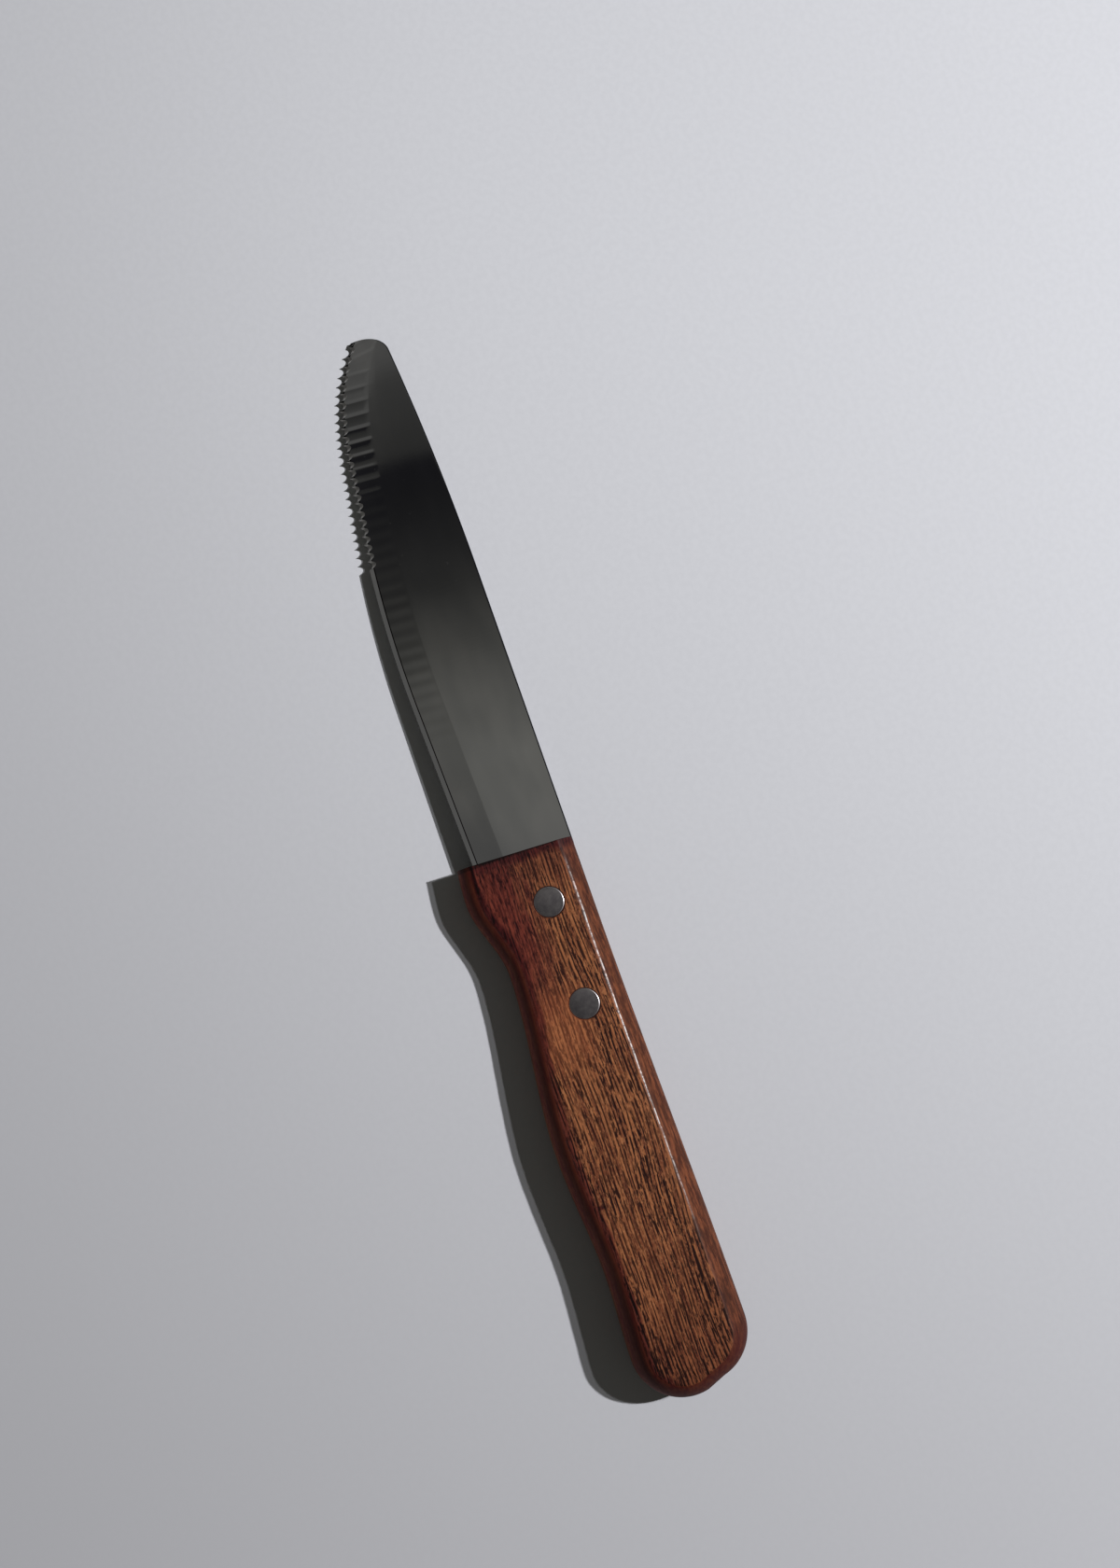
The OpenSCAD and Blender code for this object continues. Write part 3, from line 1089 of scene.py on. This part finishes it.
# %% Rivet finish
def rivet_finish():
    """Pressed steel, mottled and finely scratched."""
    steel = Finish("pressed_steel")
    x, y, z = steel.millimetres()
    _, up = steel.facing()
    mottle = steel.noise(steel.vector(x * 0.9, y * 0.9, z * 0.9), 4.0, 0.6)
    scratches = steel.noise(steel.vector(x * 1.2, y * 9, z * 4), 3.0, 0.6)
    tone = steel.mixed(mottle.step(0.3, 0.7), paint(173, 166, 169), paint(188, 182, 182))
    rolled = up.step(0.99, 0.93)
    rough = 0.12 + mottle * 0.1 + scratches * 0.06 + rolled * 0.16
    relief = steel.bump(mottle * 0.5 + scratches * 0.3, 0.3, 0.00003)
    return steel.surface({
        "Base Color": tone, "Metallic": 1.0, "Roughness": rough, "Normal": relief})


rivet_steel = rivet_finish()
wear(rivets, rivet_steel)
print("rivet finish:", len(rivet_steel.node_tree.nodes), "nodes")

# %% [markdown]
# ## The handle's wood: where a point lies
# The handle is a coarse red-brown hardwood, stained and thinly lacquered. What shows at a point
# depends on how far it lies from the front face and from the spine, and on whether the surface
# there is a flat face or turns away in the rounded band. The grain is noise drawn out along the
# handle, on lines that drift a little from side to side as a real board's do.

# %% Places and grain
wood = Finish("stained_hardwood")
x, y, z = wood.millimetres()
to_spine, up = wood.facing()
flat = up.step(0.93, 0.995)
belly = to_spine.step(-0.15, -0.55)
front_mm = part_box("handle")[0].x / MM + front_slant / 2
from_front = x - front_mm
from_spine = -middle.y - y
drift = wood.noise(wood.vector(x / 50, y / 14, z / 14), 1.0)
bent = y + drift * 4


def grain(length, width, detail, roughness=0.5):
    """Noise in streaks of about that length and width along the handle."""
    return wood.noise(wood.vector(x / length, bent / width, z / width), detail, roughness)


wobble = grain(6, 1.5, 2.0)
print("the handle's front face lies at x = %.2f mm" % front_mm)

# %% [markdown]
# ## Pores
# The tree's vessels were cut open lengthwise and took up the darkest stain. On the flat faces
# they show as dashes in rows a little under a millimetre apart, which waver, break off and
# crowd together in places, with short flecks between them. Noise alone gives no even spacing,
# so the rows are a sine wave across the grain, bent and broken up by noise. The band was sanded
# smoother, so its pores are fainter.

# %% Rows of pores and flecks
row_turn = 7.2
clumps = grain(14, 3.0, 1.0).step(0.36, 0.6)
waver = grain(20, 1.8, 2.0)
rows = (bent * row_turn + waver * 11).wave().step(-0.45, 0.6)
breaks = grain(3.0, 0.8, 3.0, 0.65).step(0.38, 0.51)
flecks = grain(2.2, 0.36, 2.0, 0.65).step(0.5, 0.4)
pores = (rows * breaks * (0.9 + clumps * 0.1)).most(flecks * (0.45 + clumps * 0.5))
open_pores = 0.3 + flat * 0.7
print("rows of pores: %.2f mm apart" % (math.tau / row_turn))

# %% [markdown]
# ## Wood under the stain
# Between the pores the wood runs in darker and lighter ribs, with a pale speckle of cut fibres.
# The rounded band is a browner, streaky tone, because the cutter left it smoother.

# %% Ribs, speckle and the band
ribs = grain(18, 0.9, 3.0, 0.65)
speckle = wood.noise(wood.vector(x * 1.6, y * 3, z * 3), 3.0, 0.7)
streaks = grain(5, 1.1, 3.0, 0.7).step(0.42, 0.6)
tone = wood.mixed(ribs.step(0.38, 0.62), paint(98, 52, 34), paint(144, 89, 56))
tone = wood.mixed(speckle.step(0.45, 0.72) * 0.45, tone, paint(178, 124, 84))
tone = wood.mixed(pores * open_pores, tone, paint(28, 9, 7))
band = wood.mixed(streaks, paint(56, 24, 14), paint(104, 56, 34))
band = wood.mixed(pores * 0.4, band, paint(24, 8, 6))
tone = wood.mixed((1 - flat) * 0.9, tone, band)
print("wood with its ribs and band:", len(wood.tree.nodes), "nodes")

# %% [markdown]
# ## Red stain
# The wine-red stain went deepest into the end grain at the front, down the belly side to a
# little past the finger groove, and in from the edges of the flat faces. By the rear rivet a
# patch was left paler. A stain doesn't cover the wood, it takes light away, so it multiplies the
# colour.

# %% Stained front, paler patch and soaked edges
red_dye = (0.52, 0.25, 0.38, 1.0)
front_dye = (0.5, 0.5, 0.62, 1.0)
edge_dye = (0.36, 0.22, 0.34, 1.0)
fibres = grain(2.4, 0.7, 2.0, 0.7).step(0.42, 0.58)
front = (from_front + wobble * 3).step(5.0, 2.0) * 0.85 + from_front.step(13, 3) * 0.3
side = (from_spine + wobble * 8 - 4).step(10.5, 17.5) * (from_front + wobble * 20).step(54, 30)
stain = front.most(side * 0.9)
red_wood = wood.mixed(fibres, paint(54, 18, 22), paint(134, 80, 58))
tone = wood.mixed(stain * 0.5, tone, red_wood)
patch = (from_front + wobble * 6).step(32, 39) * (from_front - wobble * 6).step(50, 42)
patch = patch * (from_spine + wobble * 6).step(11, 16)
tone = wood.mixed(patch * 0.25, tone, paint(160, 92, 58))
tone = wood.dyed(stain, tone, red_dye)
tone = wood.dyed(front, tone, front_dye)
near_rim = wood.node("Attribute", {"attribute_name": "near_edge"}, None, "Fac")
soaked = (near_rim + wobble * 1.1 - 0.55).step(0.3, 0.85) * from_spine.step(14, 20)
tone = wood.dyed(soaked, tone, edge_dye)
print("with the stain:", len(wood.tree.nodes), "nodes")

# %% [markdown]
# ## Belly side and butt
# The side that the fingers hold and the round of the butt are a rubbed dark red. Where the belly
# turns away it is painted a lighter red, as painted light from the pale table, and its outmost
# line is painted lighter still, a painted reflection of the table. The whole handle gets darker
# towards the butt, and the sawn front face is darkest.

# %% Rubbed wood, painted light and painted reflection from the table
butt_dye = (0.66, 0.58, 0.62, 1.0)
sawn_dye = (0.4, 0.4, 0.4, 1.0)
broad_ribs = ribs.step(0.4, 0.6)
rubbed = wood.mixed(broad_ribs, paint(70, 24, 22), paint(86, 42, 28))
round_butt = belly.most(from_front.step(111, 119) * (1 - flat))
tone = wood.mixed(round_butt * 0.8, tone, rubbed)
# Painted light: the belly band is painted a lighter red as it turns down towards the pale table.
painted_table_light = belly * (0.12 + up.step(0.75, 0.3) * 0.5)
tone = wood.mixed(painted_table_light, tone, wood.mixed(fibres, paint(124, 42, 38), paint(150, 76, 52)))
# Painted reflection of the pale table along the belly's outmost line, painted as lighter plain
# wood.
painted_reflection_colour = wood.mixed(broad_ribs, paint(88, 54, 34), paint(122, 84, 54))
painted_reflection_colour = wood.mixed(pores * 0.5, painted_reflection_colour, paint(38, 18, 12))
painted_reflection_mask = belly * up.step(0.45, 0.15) * (0.3 + wobble)
tone = wood.mixed(painted_reflection_mask, tone, painted_reflection_colour)
tone = wood.dyed(from_front.step(90, 122), tone, butt_dye)
tone = wood.dyed(from_front.step(0.7, 0.2), tone, sawn_dye)
print("with the rubbed sides:", len(wood.tree.nodes), "nodes")

# %% [markdown]
# ## Lacquer
# The lacquer has sunk into the flat faces, which hardly shine. It stands thicker where they turn
# into the band, and there it gives the broken bright line along the spine's side. The line
# fades towards both ends, so the coat's weight does. The pores stay open and are the relief.

# %% Lacquer, relief and the finished wood
turn_in = up.step(0.86, 0.93) * up.step(0.999, 0.99)
nicks = wood.noise(wood.vector(x * 0.9, y * 0.9, z), 3.0, 0.75).step(0.6, 0.44)
coat = turn_in * (0.2 + nicks * 0.7) * from_front.step(100, 66) * from_front.step(3, 12)
rough = 0.42 + speckle * 0.1 + (1 - flat) * 0.16
relief = wood.bump((1 - pores) * open_pores + speckle * 0.3 + ribs * 0.2, 0.3, 0.00005)
stained_wood = wood.surface({
    "Base Color": tone, "Roughness": rough, "Normal": relief,
    "Specular IOR Level": 0.12, "Coat Weight": coat, "Coat Roughness": 0.34,
    "Coat Tint": (1.0, 0.85, 0.8, 1.0)})
wear([handle], stained_wood)
print("handle finish:", len(wood.tree.nodes), "nodes")

# %% [markdown]
# ## Riding and standing for the frame's pieces
# The knife has one body and nothing on it moves, so every piece rides on that body. The
# imported piece that each one stands for is left out of the picture.

# %% Ride on the body
for piece, node in ((blade, "blade"), (handle, "handle")):
    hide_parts(node)
for piece in [blade, handle] + rivets:
    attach(piece, "root")
print("pieces:", [piece.name for piece in [blade, handle] + rivets])

# %% [markdown]
# ## Table
# The table is a plain pale sheet of card, a hair under the knife. The light on it falls off a
# little towards one corner and one side. One more lamp could do that, but it would cast one more
# shadow, so that fall-off is painted shade on the card itself.

# %% Table
table_size = 4
table_drop = 0.00002
floor_paint = paint(200, 201, 207)
falloff_shade_paint = paint(170, 170, 175)


def floor_finish():
    """Matt card with a faint mottle and painted shade towards one corner and one side."""
    card = Finish("pale_card")
    x, y, z = card.millimetres()
    mottle = card.noise(card.vector(x * 0.7, y * 0.7, z), 3.0)
    tone = card.mixed(mottle.step(0.3, 0.7), paint(198, 199, 205), paint(201, 202, 208))
    # Painted shade: the light's fall-off towards the far end and the left side.
    far_end_shade = (x * 0.8 - y * 0.6).step(-160, 220)
    left_side_shade = (x * 0.33 + y * 0.94).step(0, -160)
    tone = card.mixed(far_end_shade * 0.85, tone, falloff_shade_paint)
    tone = card.mixed(left_side_shade * 0.3, tone, falloff_shade_paint)
    return card.surface({"Base Color": tone, "Roughness": 0.9, "Specular IOR Level": 0.1})


bpy.ops.object.select_all(action="DESELECT")
bpy.ops.mesh.primitive_plane_add(size=table_size, location=(0, 0, -table_drop))
table = bpy.context.active_object
table.name = "table"
bpy.ops.object.transform_apply(location=True, rotation=True, scale=True)
table.data.materials.append(floor_finish())
table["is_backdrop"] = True
print("table:", table_size, "m wide")

# %% [markdown]
# ## Lamps
# The shadow in the photograph falls to the left, about as wide as the knife is high, and has
# one crisp edge with a paler one beside it. So there are two small round lamps to the right of
# the picture, one 45 and one 49 degrees up. The first gives most of the light. A lamp's power
# is reckoned from the light that has to reach the card, less what the surroundings give.

# %% Lamps
lamp_away = 1.7
lamp_width = math.radians(1.2)
key_share = 0.86
ambient = 0.072
falling = math.pi * (1 - ambient)


def lamp(name, bearing, height, share):
    """A round lamp at a bearing and a height in degrees, with a share of the light."""
    turn, up = math.radians(bearing), math.radians(height)
    ray = Vector((math.cos(turn) * math.cos(up), math.sin(turn) * math.cos(up), math.sin(up)))
    bpy.ops.object.select_all(action="DESELECT")
    bpy.ops.object.light_add(
        type="AREA", location=ray * lamp_away, rotation=ray.to_track_quat("Z", "Y").to_euler())
    made = bpy.context.active_object
    made.name = name
    made.data.shape = "DISK"
    made.data.size = lamp_away * lamp_width
    made.data.energy = falling * share / math.sin(up) * math.pi * lamp_away ** 2
    return made


key = lamp("key_lamp", 88, 45, key_share)
second = lamp("second_lamp", 91, 49, 1 - key_share)
print("lamps: %.1f W and %.1f W" % (key.data.energy, second.data.energy))

# %% [markdown]
# ## Surroundings
# Polished steel shows what stands round it, so a room is drawn for its mirror rays alone, as a
# ramp of greys along the knife. "Ahead" is how far a ray goes towards the nose's end, and
# "aside" how far it goes towards the belly's side. The flat mirrors the ramp itself, the bevel a
# darker flank, the honed edge the grey beyond, and between those two there is a dark gap. The
# shadows get a weak, slightly warm light, and the camera sees the colour of the card.

# %% Surroundings
world = bpy.data.worlds.new("surroundings")
bpy.context.scene.world = world
room = Finish("surroundings", world)
ray = room.node("SeparateXYZ", None, {0: room.node("TexCoord", output="Generated")})
aside = ray.other("Y") * -1
ahead = ray * -0.987 - aside * 0.085


def grey(value, blue=1.0):
    """A grey, with more or less blue in it."""
    return (value, value, value * blue, 1.0)


overhead = room.node("ValToRGB", {"stops": [
    (0.0, grey(0.08)), (0.1, grey(0.1)), (0.2, grey(0.15)), (0.26, grey(0.182, 0.97)),
    (0.33, grey(0.18, 0.96)), (0.4, grey(0.136, 0.96)), (0.46, grey(0.08, 0.96)),
    (0.52, grey(0.036)), (0.57, grey(0.024, 1.05)), (0.62, grey(0.016, 1.12)),
    (0.656, grey(0.012, 1.25)), (0.664, grey(0.038)), (0.7, grey(0.05)),
    (0.74, grey(0.065)), (0.76, grey(0.1)), (1.0, grey(0.14))]}, {"Fac": ahead * 2})
clouds = room.noise(room.vector(ahead * 34, aside * 9, 0))
flank = aside.step(0.03, 0.12) * ahead.step(0.3, 0.22) * 0.28
gap = aside.step(0.175, 0.2) * aside.step(0.37, 0.34) * 0.95
shade = (1 - flank) * (1 - gap) * (0.86 + clouds * 0.28)
shaded = room.dyed(1.0, overhead, room.vector(shade, shade, shade))
beyond = room.mixed(aside.step(0.45, 0.6), grey(0.14), grey(0.1))
mirrored = room.mixed(aside.step(0.33, 0.37), shaded, beyond)
mirrored = room.mixed(ray.other("Z").step(0.4, 0.1), mirrored, grey(0.32))
print("room: %d nodes for the mirror rays" % len(room.tree.nodes))

# %% Light in the shadows and behind the card
shade_light = (ambient * 1.04, ambient * 1.03, ambient * 0.9, 1.0)
path = room.node("LightPath")
seen = path.other("Is Camera Ray").most(path.other("Is Transmission Ray"))
light = room.mixed(path.other("Is Glossy Ray"), shade_light, mirrored)
light = room.mixed(seen, light, floor_paint)
room.close(room.node("Background", None, {"Color": light, "Strength": 1.0}))
print("light in the shadows: %.3f of the full light" % ambient)

# %% [markdown]
# ## Camera
# The photograph was taken from almost straight above, with the knife's nose at the top of the
# frame. The lens is given by how many pixels of the frame one unit of slope takes up.

# %% Camera
frame_long = 1680
pixels_per_slope = 1900
film_width = 36
camera_at = Vector((18.53, 4.33, 409.75)) * MM
look = Vector((-0.07405, 0.02594, -0.99692))
right = Vector((0.33064, 0.94376, 0.0))
above = right.cross(look).normalized()
bpy.ops.object.select_all(action="DESELECT")
bpy.ops.object.camera_add(location=camera_at)
camera = bpy.context.active_object
camera.name = "camera"
camera.rotation_euler = Matrix((right, above, -look)).transposed().to_euler()
camera.data.sensor_width = film_width
camera.data.lens = film_width * pixels_per_slope / frame_long
camera.data.clip_start = 0.01
bpy.context.scene.camera = camera
bpy.context.scene.view_settings.view_transform = "Standard"
print("camera: %.0f mm above the table, lens %.1f mm" % (camera_at.z / MM, camera.data.lens))

# %% [markdown]
# ## Sizes
# Both boxes are printed, the frame's and the visual model's. The visual model has to
# fill the same box as the frame.

# %% Print both boxes and finish
visual_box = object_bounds()
for title, (low, high) in (("frame", cad_box), ("visual", visual_box)):
    print(title, "size in mm:", [round((b - a) / MM, 2) for a, b in zip(low, high)])
